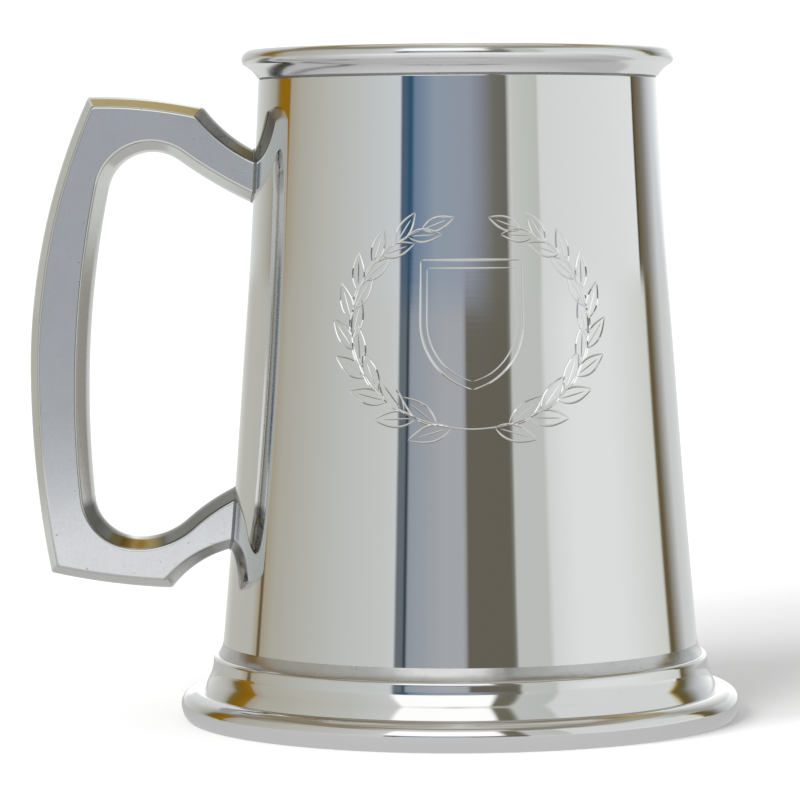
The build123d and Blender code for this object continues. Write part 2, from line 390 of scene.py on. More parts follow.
def spray_grooves(side):
    """One stem of the wreath with its leaves. Side is +1 for the right-hand one, -1 for the left."""
    mirror = np.array((side, 1.0))
    size = np.array(WREATH_SIZE)

    def stem(angle):
        return size * np.array((math.cos(angle), math.sin(angle)))

    def heading(angle):
        return math.atan2(size[1] * math.cos(angle), -size[0] * math.sin(angle))

    angles = np.radians(np.linspace(WREATH_FIRST, WREATH_LAST, STEM_POINTS))
    grooves = [tapering(np.array([stem(a) for a in angles]), GROOVE_HALF_WIDTH * STEM_WIDTH)]
    for k in range(LEAF_PAIRS):
        angle = math.radians(LEAF_FIRST + k * LEAF_STEP)
        scale = 1 - LEAF_SHRINK * k / LEAF_PAIRS
        for turn in (-1, 1):
            base = stem(angle + turn * math.radians(LEAF_STEP) / 5)
            direction = heading(angle) + turn * math.radians(LEAF_SPREAD)
            grooves += leaf_grooves(base, direction, LEAF_LENGTH * scale, LEAF_WIDTH * scale)
    tip = math.radians(WREATH_LAST)
    grooves += leaf_grooves(stem(tip), heading(tip), LEAF_LENGTH * TIP_LEAF, LEAF_WIDTH * TIP_LEAF)
    return [(points * mirror, width) for points, width in grooves]


def shield_grooves(half_width, half_height, groove):
    """The outline of a plain shield: a level top, upright sides and a pointed foot."""
    top = line((-half_width, half_height), (half_width, half_height), SHIELD_STEP)
    waist = SHIELD_WAIST * half_height
    chains = [top]
    for corner in (top[0], top[-1]):
        upright = line(corner, (corner[0], waist), SHIELD_STEP)
        curve = arc_leaving(upright[-1], (0, -1), (0, -half_height), SHIELD_STEP)
        chains.append(np.vstack((upright[:-1], curve)))
    return [tapering(chain, groove, SHIELD_THIN_END) for chain in chains]


def all_grooves():
    """Every groove of the engraving, placed on the barrel."""
    grooves = spray_grooves(1) + spray_grooves(-1)
    grooves += shield_grooves(*SHIELD_SIZE, GROOVE_HALF_WIDTH)
    inner = np.subtract(SHIELD_SIZE, SHIELD_INSET)
    grooves += shield_grooves(*inner, GROOVE_HALF_WIDTH * INNER_LINE_WIDTH)
    return [(points + ENGRAVING_CENTRE, width) for points, width in grooves]


def groove_reach(points, grooves):
    """How far each point lies inside a groove's edge, or outside it where negative."""
    start = np.vstack([p[:-1] for p, _ in grooves])
    chord = np.vstack([p[1:] - p[:-1] for p, _ in grooves])
    first_width = np.concatenate([w[:-1] for _, w in grooves])
    width_change = np.concatenate([w[1:] - w[:-1] for _, w in grooves])
    length2 = (chord**2).sum(1)
    reach = []
    for block in np.array_split(points[:, None], math.ceil(len(points) / 500)):
        share = np.clip(((block - start) * chord).sum(2) / length2, 0, 1)
        away = norm(block - start - share[..., None] * chord, axis=2)
        reach.append((first_width + width_change * share - away).max(1))
    return np.concatenate(reach)


def groove_lines(grooves):
    """The points and edges of every groove's two sides and its bottom line."""
    points = []
    edges = []
    for centre, width in grooves:
        across = quarter_left(tangents(centre)) * width[:, None]
        first = len(points)
        last = first + 1
        points += [centre[0], centre[-1]]
        for chain in (centre + across, centre, centre - across):
            inner = list(range(len(points), len(points) + len(centre) - 2))
            points += list(chain[1:-1])
            run = [first] + inner + [last]
            edges += list(zip(run[:-1], run[1:]))
    return points, edges


def barrel_normals(angle, height):
    """The barrel's exact outward normal."""
    rise = height - BARREL_CENTRE[1]
    slope = rise / np.sqrt(BARREL_CURVE**2 - rise**2)
    normal = np.stack((np.sin(angle), -np.cos(angle), -slope), -1)
    return normal / norm(normal, axis=-1, keepdims=True)


def make_barrel(material, inner_material):
    """The barrel, with its engraving cut into a finely meshed patch of the outside."""
    top_z = BARREL_TOP[1]
    outline = joined([
        barrel_line(top_z, LEDGE_Z),
        line(BARREL_BOTTOM, (BARREL_BOTTOM[0] - BARREL_WALL, LEDGE_Z), 0.5),
        barrel_line(LEDGE_Z, top_z, -BARREL_WALL),
        line((BARREL_TOP[0] - BARREL_WALL, top_z), BARREL_TOP, 0.5),
    ])
    grooves = all_grooves()
    points = np.vstack([p for p, _ in grooves])
    low = points.min(0) - PATCH_MARGIN
    high = points.max(0) + PATCH_MARGIN
    outside = round((top_z - LEDGE_Z) / ROW)
    rows = [i for i in range(outside) if low[1] < outline[i][1] < high[1]]
    step = math.radians(360 / AROUND)
    first = math.floor((low[0] / ENGRAVING_R + math.pi) / step)
    last = math.ceil((high[0] / ENGRAVING_R + math.pi) / step)

    def in_patch(i, j):
        return rows[0] <= i < rows[-1] and first <= j < last

    body = Turned(outline, skip=in_patch)
    loop_normals = body.loop_normals()

    flat, edges = groove_lines(grooves)
    borders = {}
    for i in range(rows[0], rows[-1] + 1):
        for j in range(first, last + 1):
            place = np.array(((j * step - math.pi) * ENGRAVING_R, outline[i][1]))
            if i in (rows[0], rows[-1]) or j in (first, last):
                borders[len(flat)] = int(body.index[i, j])
                flat.append(place)
            elif groove_reach(place[None], grooves)[0] < -GROOVE_CLEARANCE:
                flat.append(place)
    vertices, _, triangles, origins, _, _ = delaunay_2d_cdt(
        [Vector(p) for p in flat], edges, [], 0, 1e-4
    )
    vertices = np.array([(v.x, v.y) for v in vertices])
    reach = groove_reach(vertices, grooves)
    depth = GROOVE_SLOPE * np.clip(reach, 0, None)
    angle = vertices[:, 0] / ENGRAVING_R
    places = on_circle(angle, barrel_r(vertices[:, 1]) - depth, vertices[:, 1])
    smooth = barrel_normals(angle, vertices[:, 1])
    number = []
    for k, origin in enumerate(origins):
        shared = [borders[o] for o in origin if o in borders]
        if shared:
            number.append(shared[0])
        else:
            number.append(len(body.vertices))
            body.vertices.append(places[k])
    middles = np.array([vertices[list(t)].mean(0) for t in triangles])
    cut = groove_reach(middles, grooves) > GROOVE_START
    for triangle, inside in zip(triangles, cut):
        a, b, c = places[list(triangle)]
        facet = np.cross(b - a, c - a)
        size = norm(facet)
        if size < NO_AREA:
            continue
        body.faces.append([number[k] for k in triangle])
        for k in triangle:
            loop_normals.append(facet / size if inside else smooth[k])
    centres = [np.mean([body.vertices[k] for k in face], axis=0) for face in body.faces]
    inner = [int(np.hypot(c[0], c[1]) < barrel_r(c[2]) - BARREL_WALL / 2) for c in centres]
    make_piece(
        "barrel_wall", body.vertices, body.faces, loop_normals,
        [material, inner_material], "barrel", inner,
    )


# --- Lip, foot and floor ---
def make_rim(material, solder):
    """The lip ring and the solder seam under it."""
    base_z = rim_low.z
    base_outer = (BARREL_TOP[0] + RIM_OVERHANG, base_z)
    base_inner = (BARREL_TOP[0] - BARREL_WALL, base_z)
    centre = (RIM_EDGE_R - RIM_EDGE_RADIUS, rim_high.z - RIM_EDGE_RADIUS)
    edge = arc_about(centre, RIM_EDGE_RADIUS, 90, RIM_COVE_END_ANGLE)
    outline = joined([
        edge,
        arc_sagging(edge[-1], base_outer, -RIM_COVE_SAG),
        line(base_outer, base_inner, 0.5),
        arc_sagging(base_inner, RIM_MOUTH, RIM_MOUTH_SAG),
        arc_leaving(edge[0], (-1, 0), RIM_MOUTH, 0.2)[::-1],
    ])
    turned_piece("lip_ring", outline, material, "rim_ring")

    outer_r = BARREL_TOP[0] - SEAM_RECESS
    inner_r = BARREL_TOP[0] - BARREL_WALL + SEAM_RECESS
    low_z = BARREL_TOP[1]
    seam = joined([
        arc_sagging((outer_r, base_z), (outer_r, low_z), -SEAM_SAG, 0.1),
        line((outer_r, low_z), (inner_r, low_z), 0.4),
        arc_sagging((inner_r, low_z), (inner_r, base_z), -SEAM_SAG, 0.1),
        line((inner_r, base_z), (outer_r, base_z), 0.4),
    ], 0.03)
    turned_piece("lip_seam", seam, solder, "rim_solder")


def make_fillet(name, corners, sag, material, node):
    """A ring of solder: hollow from its first to its second corner, and straight on its other sides."""
    start, end, _ = corners
    outline = joined([arc_sagging(start, end, -sag, 0.1), *lines(0.2, *corners[1:], start)], 0.04)
    turned_piece(name, outline, material, node)


def make_foot(material, solder):
    """The foot ring and the solder fillet above it."""
    bore_r = BARREL_BOTTOM[0] + BORE_GAP
    shoulder = (FOOT_SHOULDER_R - FOOT_SHOULDER_RADIUS, FOOT_TOP_Z - FOOT_SHOULDER_RADIUS)
    shoulder_arc = arc_about(shoulder, FOOT_SHOULDER_RADIUS, 90, FOOT_BAND_SLOPE, 0.12)
    lean = math.tan(math.radians(FOOT_BAND_SLOPE))
    band_end = (shoulder_arc[-1][0] + lean * (shoulder_arc[-1][1] - OGEE_TOP_Z), OGEE_TOP_Z)
    band = line(shoulder_arc[-1], band_end, 0.3)
    hollow = arc_leaving(band_end, (lean, -1), OGEE_TURN, 0.15)
    bead = arc_about(BEAD_CENTRE, BEAD_RADIUS, BEAD_START_ANGLE, BEAD_ARRIS_ANGLE, 0.15)
    bead_low = arc_leaving(bead[-1], (0, -1), (BEAD_FLAT[1], 0), 0.15)
    bore_low, bore_high = (bore_r, LEDGE_Z), (bore_r, FOOT_TOP_Z)
    ledge_under, ledge_over = (LEDGE_INNER_R, FOOT_INNER_TOP[1]), (LEDGE_INNER_R, LEDGE_Z)
    outline = joined([
        line(bore_high, shoulder_arc[0], 0.3),
        shoulder_arc,
        band,
        hollow,
        arc_leaving(hollow[-1], leaving(hollow), bead[0], 0.15),
        bead,
        bead_low,
        *lines(0.4, bead_low[-1], (BEAD_FLAT[0], 0), BEAD_INNER),
        *lines(ROW, BEAD_INNER, FOOT_INNER_TOP, ledge_under, ledge_over, bore_low, bore_high),
    ], 0.12)
    turned_piece("foot_moulding", outline, material, "foot_ring")

    high_z = FOOT_TOP_Z + FOOT_FILLET_HEIGHT
    outer = (bore_r + FOOT_FILLET_WIDTH, FOOT_TOP_Z)
    upper = (float(barrel_r(high_z)), high_z)
    lower = (float(barrel_r(FOOT_TOP_Z)), FOOT_TOP_Z)
    make_fillet("foot_fillet", (upper, outer, lower), FOOT_FILLET_SAG, solder, "foot_solder")


def make_floor(material, solder):
    """The floor of the drinking space and the solder fillet round it."""
    radius = floor_high.x
    disc = joined([
        line((0, FLOOR_TOP_Z), (radius, FLOOR_TOP_Z)),
        line((radius, FLOOR_TOP_Z), (radius, LEDGE_Z), 0.5),
        line((radius, LEDGE_Z), (0, LEDGE_Z)),
    ], closed=False)
    turned_piece("inner_floor", disc, material, "floor_disc")

    high_z = FLOOR_TOP_Z + FLOOR_FILLET_LEG
    upper = (float(barrel_r(high_z)) - BARREL_WALL, high_z)
    lower = (float(barrel_r(FLOOR_TOP_Z)) - BARREL_WALL, FLOOR_TOP_Z)
    inner = (lower[0] - FLOOR_FILLET_LEG, FLOOR_TOP_Z)
    make_fillet("floor_fillet", (inner, upper, lower), FLOOR_FILLET_SAG, solder, "floor_solder")


# --- Handle ---
# Its outline at the parting line is drawn in (r, z), r running away from the barrel, along -X.
HALF_THICKNESS = handle_high.y
CREST = ((47.5, 114.5), (57.5, 116.15), (69.2, 116.6))
GRIP_BACK = (-handle_low.x, 65.0)
SOLE = ((76.9, 27.3), (64.9, 25.2), (54.2, handle_low.z))
LOWER_ROOT_UNDER = (SOLE[2], (48.8, 29.2), (43.2, 31.6))
LOWER_ARCH_CENTRE = (60.0, 42.65)
LOWER_ARCH_RADIUS = 8.65
LOWER_ARCH_SWEEP = 84.6
LOWER_ROOT_HOLLOW = (51.1, 37.4)
GRIP_FRONT_TOP = (65.44, 99.5)
UPPER_ARCH_END = (52.18, 104.63)
UPPER_ROOT_OVER = ((34.0, 104.8), (42.3, 109.2), CREST[0])
ROOT_R = 34.0
LOWER_ROOT_Z = (33.5, 46.2)
UPPER_ROOT_Z = 94.6
PARTING_RADIUS = 8.0  # the parting line is dressed round
WALL_ANGLE = math.radians(21.5)  # the draft
EDGE_RADIUS = 0.6
CORNER_LEG = 0.45
CORNER_SPARE = 0.1
STATION_STEP = 0.6
PATH_STEP = 0.1
JOINT_STEP = 0.5
# The solder at the handle's ends: how far each ring lies out past the handle, and off the barrel
JOINT_LAYERS = (
    (-0.3, SOLDER_GAP), (0.0, SOLDER_GAP), (0.06, 0.24), (0.16, 0.13), (0.3, 0.05), (0.45, 0.01),
    (0.45, 0.0), (-0.3, 0.0),
)


def handle_paths():
    """The smooth stretches of the outline: those between corners outside, and the one inside."""
    step = PATH_STEP
    shoulder = arc_through(*UPPER_ROOT_OVER, step)
    crest = arc_through(*CREST, step)
    back_top = arc_leaving(GRIP_BACK, (0, 1), CREST[2], step)[::-1]
    back_low = arc_leaving(GRIP_BACK, (0, -1), SOLE[0], step)
    sole = arc_through(*SOLE, step)
    under = arc_through(*LOWER_ROOT_UNDER, step)
    low_arch = arc_about(LOWER_ARCH_CENTRE, LOWER_ARCH_RADIUS, -90, LOWER_ARCH_SWEEP - 90, step)
    hollow = arc_leaving(low_arch[0], (-1, 0), LOWER_ROOT_HOLLOW, step)

    def running_on(arc, end):
        return arc_leaving(arc[-1], leaving(arc), end, step)

    under_root = running_on(under, (ROOT_R, LOWER_ROOT_Z[0]))
    over_root = running_on(hollow, (ROOT_R, LOWER_ROOT_Z[1]))
    front = running_on(low_arch, GRIP_FRONT_TOP)
    high_arch = running_on(front, UPPER_ARCH_END)
    arch_root = running_on(high_arch, (ROOT_R, UPPER_ROOT_Z))
    outer = [
        shoulder,
        crest,
        np.vstack((back_top[:-1], back_low)),
        sole,
        np.vstack((under[:-1], under_root)),
    ]
    inner = np.vstack((
        over_root[::-1][:-1], hollow[::-1][:-1], low_arch[:-1], front[:-1], high_arch[:-1], arch_root
    ))
    return outer, inner


def handle_section():
    """Inset, sideways place and tilt of every ring that runs along the handle, from side to side."""
    arc_end_inset = PARTING_RADIUS * (1 - math.cos(WALL_ANGLE))
    arc_end_y = PARTING_RADIUS * math.sin(WALL_ANGLE)
    edge_y = HALF_THICKNESS - EDGE_RADIUS
    wall_end_y = edge_y + EDGE_RADIUS * math.sin(WALL_ANGLE)
    wall_end_inset = arc_end_inset + (wall_end_y - arc_end_y) * math.tan(WALL_ANGLE)
    edge_inset = wall_end_inset + EDGE_RADIUS * math.cos(WALL_ANGLE)
    half = []
    for tilt in WALL_ANGLE * np.linspace(0, 1, 5):
        inset = PARTING_RADIUS * (1 - math.cos(tilt))
        half.append((inset, PARTING_RADIUS * math.sin(tilt), tilt))
    for share in (0.33, 0.67):
        inset = arc_end_inset + share * (wall_end_inset - arc_end_inset)
        half.append((inset, arc_end_y + share * (wall_end_y - arc_end_y), WALL_ANGLE))
    for tilt in np.linspace(WALL_ANGLE, math.pi / 2, 7):
        inset = edge_inset - EDGE_RADIUS * math.cos(tilt)
        half.append((inset, edge_y + EDGE_RADIUS * math.sin(tilt), tilt))
    other = [(inset, -y, -tilt) for inset, y, tilt in half[:0:-1]]
    return np.array(other + half)


class Stretch:
    """A smooth stretch of the handle's outline, measured by length."""

    def __init__(self, points):
        self.points = points
        self.normals = quarter_left(tangents(points))
        self.s = np.r_[0, np.cumsum(norm(np.diff(points, axis=0), axis=1))]

    def at(self, s, inset):
        """Place and normal at each length, moved in by an inset."""
        place, normal = (
            np.stack([np.interp(s, self.s, values[:, k]) for k in (0, 1)], -1)
            for values in (self.points, self.normals)
        )
        normal /= norm(normal, axis=-1, keepdims=True)
        return place - normal * np.asarray(inset)[..., None], normal

    def meets_barrel(self, inset, y, from_end):
        """Length at which a ring along this stretch comes out of the barrel and its solder."""
        place, _ = self.at(self.s, np.full(len(self.s), inset))
        surface = np.sqrt((barrel_r(place[:, 1]) + SOLDER_GAP) ** 2 - y**2)
        clear = place[:, 0] - surface
        outside = np.nonzero(clear > 0)[0]
        k = outside[-1] if from_end else outside[0]
        other = k + 1 if from_end else k - 1
        share = clear[k] / (clear[k] - clear[other])
        return self.s[k] + share * (self.s[other] - self.s[k])


def corner_grid(before, after, section):
    """Places and normals at a slightly rounded corner between two stretches: one row a station."""
    n1, n2 = before.normals[-1], after.normals[0]
    mitre = -(n1 + n2) / (1 + n1 @ n2)
    corner = before.points[-1]
    t1, t2 = -quarter_left(n1), -quarter_left(n2)
    places, normals = [], []
    for t in np.linspace(0, 1, 7):
        offset = -t1 * CORNER_LEG * (1 - t) ** 2 + t2 * CORNER_LEG * t**2
        normal = n1 * (1 - t) + n2 * t
        normals.append(np.tile(normal / norm(normal), (len(section), 1)))
        places.append(corner + offset + mitre * section[:, :1])
    return np.array(places), np.array(normals)


def path_grid(stretches, section):
    """The same for a whole path that starts and ends against the barrel."""
    deepest = section[:, 0].max()
    grids = []
    for k, stretch in enumerate(stretches):
        first = np.zeros(len(section))
        last = np.full(len(section), stretch.s[-1])
        if k == 0:
            first = np.array([stretch.meets_barrel(d, y, False) for d, y, _ in section])
        if k == len(stretches) - 1:
            last = np.array([stretch.meets_barrel(d, y, True) for d, y, _ in section])
        for ahead, side in ((k, 0), (k + 1, 1)):
            if 0 < ahead < len(stretches):
                n1, n2 = stretches[ahead - 1].normals[-1], stretches[ahead].normals[0]
                half_turn = math.acos(np.clip(n1 @ n2, -1, 1)) / 2
                room = deepest * math.tan(half_turn) + CORNER_LEG + CORNER_SPARE
                if side:
                    last = last - room
                else:
                    first = first + room
        if k:
            grids.append(corner_grid(stretches[k - 1], stretch, section))
        count = math.ceil((last.max() - first.min()) / STATION_STEP)
        s = first + (last - first) * np.linspace(0, 1, count + 1)[:, None]
        grids.append(stretch.at(s, np.broadcast_to(section[:, 0], s.shape)))
    return np.vstack([g[0] for g in grids]), np.vstack([g[1] for g in grids])


def make_handle(polished, satin):
    """The cast handle: polished edges and flat satin sides. Gives the loops round its two ends."""
    outer_paths, inner_path = handle_paths()
    section = handle_section()
    grids = [
        path_grid([Stretch(p) for p in outer_paths], section),
        path_grid([Stretch(inner_path)], section),
    ]
    y, tilt = section[:, 1], section[:, 2]
    vertices, normals, numbers = [], [], []
    for places, outward in grids:
        stations = len(places)
        numbers.append(len(vertices) + np.arange(stations * len(section)).reshape(stations, -1))
        side = np.tile(y, (stations, 1))
        vertices += list(np.stack((-places[..., 0], side, places[..., 1]), -1).reshape(-1, 3))
        level = np.cos(tilt)
        sideways = np.tile(np.sin(tilt), (stations, 1))
        turned = np.stack((-outward[..., 0] * level, sideways, outward[..., 1] * level), -1)
        normals += list(turned.reshape(-1, 3))
    outer, inner = numbers
    faces = quads(outer) + quads(inner)
    loop_normals = [normals[v] for face in faces for v in face]
    kinds = [0] * len(faces)
    for ring, facing in ((0, -1), (-1, 1)):
        loop = [int(v) for v in np.r_[outer[:, ring], inner[:, ring]]]
        flat = [Vector((-vertices[v][0], vertices[v][2])) for v in loop]
        _, _, triangles, origins, _, _ = delaunay_2d_cdt(flat, [], [list(range(len(loop)))], 1, 1e-5)
        for triangle in triangles:
            face = [loop[origins[k][0]] for k in triangle]
            faces.append(face if facing > 0 else face[::-1])
            loop_normals += [(0, facing, 0)] * 3
            kinds.append(1)
    ends = ((outer[0], inner[-1]), (inner[0], outer[-1]))
    for here, there in ends:
        cap = quads(np.array((there, here)))
        faces += cap
        loop_normals += [(1, 0, 0)] * 4 * len(cap)
        kinds += [0] * len(cap)
    make_piece(
        "cast_handle", vertices, faces, loop_normals, [polished, satin], "handle", kinds
    )
    return [np.array(vertices)[np.r_[here, there[::-1]]] for here, there in ends]


def make_joint(name, node, loop, material):
    """The solder between one end of the handle and the barrel, from the loop round that end."""
    angle = np.arctan2(loop[:, 1], -loop[:, 0])
    flat = np.c_[angle * ENGRAVING_R, loop[:, 2]]
    centre = flat.mean(0)
    order = np.argsort(np.arctan2(*(flat - centre).T[::-1]))
    flat = flat[order]
    sides = zip(flat, np.roll(flat, -1, 0))
    dense = np.vstack([line(here, there, JOINT_STEP)[:-1] for here, there in sides])
    away = -quarter_left(tangents(dense, closed=True))
    vertices = []
    for spread, height in JOINT_LAYERS:
        ring = dense + away * spread
        turn = ring[:, 0] / ENGRAVING_R
        radius = barrel_r(ring[:, 1]) + height
        vertices += list(np.stack((-radius * np.cos(turn), radius * np.sin(turn), ring[:, 1]), -1))
    count = len(dense)
    grid = np.arange(len(vertices)).reshape(-1, count)
    faces = quads(np.c_[grid, grid[:, :1]].T)
    top_centre = len(vertices)
    base = top_centre - count
    vertices += [np.mean(vertices[:count], axis=0), np.mean(vertices[-count:], axis=0)]
    for k in range(count):
        ahead = (k + 1) % count
        faces.append([top_centre, k, ahead])
        faces.append([top_centre + 1, base + ahead, base + k])
    make_piece(name, vertices, faces, None, [material], node)


# --- Materials ---
PEWTER = (0.785, 0.785, 0.785)
TARNISH = (0.30, 0.29, 0.27)
PAINTED_SHADE_COLOUR = (0.13, 0.13, 0.12)  # painted shade in the hollow corners where the handle meets the body, and on the lower arch inside the grip
PAINTED_SHADE_PLACE = (-0.053, -0.048)  # along X, in metres: from here to here they get darker
PAINTED_SHADE_FACING = (0.15, 0.35)  # X of the surface's direction: only edges that face the body
# Painted shade also darkens the lower arch inside the grip, chosen by the three spans below.
ARCH_LEVEL = (0.050, 0.046)  # the lower arch inside the grip, by height in metres,
ARCH_SIDEWAYS = (0.08, 0.30)  # by how far its surface faces sideways,
ARCH_UPWARD = (0.10, 0.25)  # and by how far it faces up
LINE_STRETCH = 0.0008  # how little the polishing lines change along their length
FINE_LINES, BROAD_LINES, CLOUDS, SPECKS, PITS = 7000.0, 1500.0, 90.0, 900.0, 1100.0  # noise scales
LINE_SPAN, CLOUD_SPAN, SPECK_SPAN, PIT_SPAN = (0.3, 0.8), (0.35, 0.75), (0.55, 0.8), (0.74, 0.79)
SPECK_SHARE = 0.6  # of the mottling
PIT_DEPTH = 2e-5  # metres


class Nodes:
    """A short way to add and link shader nodes."""

    def __init__(self, tree):
        self.tree = tree
        tree.nodes.clear()

    def add(self, kind, links=None, **settings):
        """A new node's outputs. Its inputs are linked to sockets or set to values."""
        node = self.tree.nodes.new("ShaderNode" + kind)
        for key, value in settings.items():
            setattr(node, key, value)
        for key, value in (links or {}).items():
            if isinstance(value, bpy.types.NodeSocket):
                self.tree.links.new(value, node.inputs[key])
            else:
                node.inputs[key].default_value = value
        return node.outputs

    def math(self, operation, a, b=0.0, c=0.0):
        """The result of one sum."""
        return self.add("Math", {0: a, 1: b, 2: c}, operation=operation)[0]

    def plus(self, a, b):
        return self.math("ADD", a, b)

    def times(self, a, b):
        return self.math("MULTIPLY", a, b)

    def span(self, value, low, high, first=0.0, last=1.0, smooth=False):
        """A value moved from one span to another and held at its ends."""
        return self.add(
            "MapRange",
            {"Value": value, "From Min": low, "From Max": high, "To Min": first, "To Max": last},
            interpolation_type="SMOOTHSTEP" if smooth else "LINEAR",
        )["Result"]

    def mix(self, share, a, b):
        """Two colours mixed by a share."""
        return self.add("Mix", {0: share, 6: a, 7: b}, data_type="RGBA")[2]

    def mix_shaders(self, share, a, b):
        """Two shaders mixed by a share."""
        return self.add("MixShader", {0: share, 1: a, 2: b})[0]

    def noise(self, vector, scale, detail=2.0, roughness=0.5):
        """Soft noise from 0 to 1."""
        links = {"Vector": vector, "Scale": scale, "Detail": detail, "Roughness": roughness}
        return self.add("TexNoise", links)["Fac"]


def new_material(name):
    """An empty node material."""
    material = bpy.data.materials.new(name)
    material.use_nodes = True
    return material, Nodes(material.node_tree)


def painted_shade_share(n, place):
    """The share, from 0 to 1, of painted shade in the hollow corners of the handle's edge and on the
    lower arch inside the grip.
    """
    along, _, level = n.add("SeparateXYZ", {0: place})
    facing, _, upward = n.add("SeparateXYZ", {0: n.add("TexCoord")["Normal"]})
    corners = n.times(n.span(along, *PAINTED_SHADE_PLACE), n.span(facing, *PAINTED_SHADE_FACING))
    sideways = n.span(n.math("ABSOLUTE", facing), *ARCH_SIDEWAYS)
    arch = n.times(sideways, n.span(upward, *ARCH_UPWARD))
    return n.math("MAXIMUM", corners, n.times(n.span(level, *ARCH_LEVEL), arch))


def metal(
    name, colour, roughness, spun=0.0, waves=0.0, wave_scale=55.0, pits=0.0, mottling=0.0, painted_shade=0.0,
    shine=1.0,
):
    """Pewter with polishing lines, slow waves, small pits and a mottled tarnish, with painted shade in
    the handle's hollows where asked.
    """
    material, n = new_material(name)
    place = n.add("TexCoord")["Object"]
    x, y, up = n.add("SeparateXYZ", {0: place})
    away = n.math("SQRT", n.plus(n.times(x, x), n.times(y, y)))
    turn = n.times(n.math("ARCTAN2", x, y), LINE_STRETCH)
    rings = n.add("CombineXYZ", {0: away, 1: up, 2: turn})[0]
    fine_lines = n.noise(rings, FINE_LINES)
    broad_lines = n.noise(rings, BROAD_LINES, 3.0, 0.6)
    cloud = n.noise(place, CLOUDS, 4.0, 0.6)
    speck = n.noise(place, SPECKS)
    pit = n.span(n.noise(place, PITS, 1.0), *PIT_SPAN)
    tarnish = n.times(n.span(cloud, *CLOUD_SPAN), mottling)
    tarnish = n.plus(tarnish, n.times(n.span(speck, *SPECK_SPAN), mottling * SPECK_SHARE))
    tarnish = n.plus(tarnish, n.times(pit, pits))
    base = n.mix(n.math("MINIMUM", tarnish, 1.0), (*colour, 1), (*TARNISH, 1))
    # Painted shade mixed into the colour in the handle's hollow corners and on its lower arch.
    if painted_shade:
        base = n.mix(n.times(painted_shade_share(n, place), painted_shade), base, (*PAINTED_SHADE_COLOUR, 1))
    rough = n.plus(roughness, n.times(n.span(broad_lines, *LINE_SPAN), roughness / 2))
    rough = n.plus(rough, n.times(tarnish, roughness))
    height = n.times(n.noise(place, wave_scale, 1.0), waves)
    height = n.plus(height, n.times(broad_lines, spun * 3))
    height = n.plus(height, n.times(fine_lines, spun))
    height = n.math("SUBTRACT", height, n.times(pit, pits * PIT_DEPTH))
    bump = n.add("Bump", {"Strength": 1.0, "Distance": 1.0, "Height": height})[0]
    surface = {"Base Color": base, "Metallic": shine, "Roughness": rough, "Normal": bump}
    n.add("OutputMaterial", {"Surface": n.add("BsdfPrincipled", surface)[0]})
    return material


# --- The room that the metal reflects ---
# Each ramp is one band of heights: degrees round the tankard, 0 towards the camera, and the colour
# there as it looks in the metal, from 0 to 255.
METAL_SHARE = 0.78  # how much of the room's light the metal gives back
FAR_FLOOR_EDGE = (-9.0, -7.0)  # from here up the floor gives way to the room
WHITE = (254, 254, 253)
BRIGHT = (206, 209, 207)
BRIGHTER = (217, 220, 219)
BLIND = (184, 187, 183)
WALL = (176, 175, 168)
SAND = (168, 165, 154)
OCHRE = (160, 150, 129)
OLIVE = (104, 101, 88)
DARK_GOLD = (140, 100, 18)
GILT = (140, 108, 26)
UMBER = (96, 84, 58)
BROWN = (98, 94, 84)
INK = (34, 46, 56)
TEAL = (38, 78, 104)
SLATE = (98, 106, 112)
BLUE_SLATE = (74, 92, 112)
SILVER = (160, 163, 167)
HAZE = (142, 149, 158)

FAR_FLOOR = (
    (-180, BRIGHT), (-90, (184, 185, 180)), (-30, (204, 206, 206)), (40, (207, 209, 209)), (90, BRIGHT),
    (180, BRIGHT),
)
LOW_ROOM = (
    (-180, BRIGHT), (-150, WALL), (-135, WALL), (-122, WALL), (-116.5, OCHRE), (-116, UMBER),
    (-113.6, UMBER), (-113, OCHRE), (-104, SAND), (-84, WALL), (-60, BLIND), (-36, (192, 195, 191)),
    (-32, (196, 199, 200)), (-31.5, SLATE), (-27.6, SLATE), (-27.2, INK), (-25.8, INK), (-25.3, HAZE),
    (-8, SILVER), (2.6, SILVER), (3.4, BROWN), (26.6, BROWN), (27.4, BLIND), (44, BLIND),
    (46, BRIGHT), (60, BRIGHTER), (86, BRIGHTER), (120, (200, 202, 197)), (122.5, UMBER),
    (125.5, UMBER), (141, (192, 194, 193)), (180, BRIGHT),
)
MIDDLE_ROOM = (
    (-180, WHITE), (-174, WHITE), (-168, BRIGHTER), (-152, (192, 195, 191)), (-138, WALL),
    (-128, (160, 156, 146)), (-122, (120, 106, 62)), (-120.5, DARK_GOLD), (-111, DARK_GOLD),
    (-110, OCHRE), (-100, SAND), (-80, (178, 178, 171)), (-31.8, (194, 199, 202)), (-31.2, BLUE_SLATE),
    (-28.2, BLUE_SLATE), (-27.8, TEAL), (-25.4, TEAL), (-24.8, (98, 120, 146)), (-12, (138, 150, 164)),
    (6, (140, 147, 160)), (14, (123, 127, 133)), (20, (107, 106, 98)), (27.8, (100, 98, 90)),
    (28.4, BRIGHT), (30, (190, 193, 189)), (45, (181, 185, 178)), (46.5, BRIGHT),
    (117.4, BRIGHTER), (118, INK),
    (119.6, UMBER), (128, (122, 118, 110)), (142, (196, 198, 201)),
)
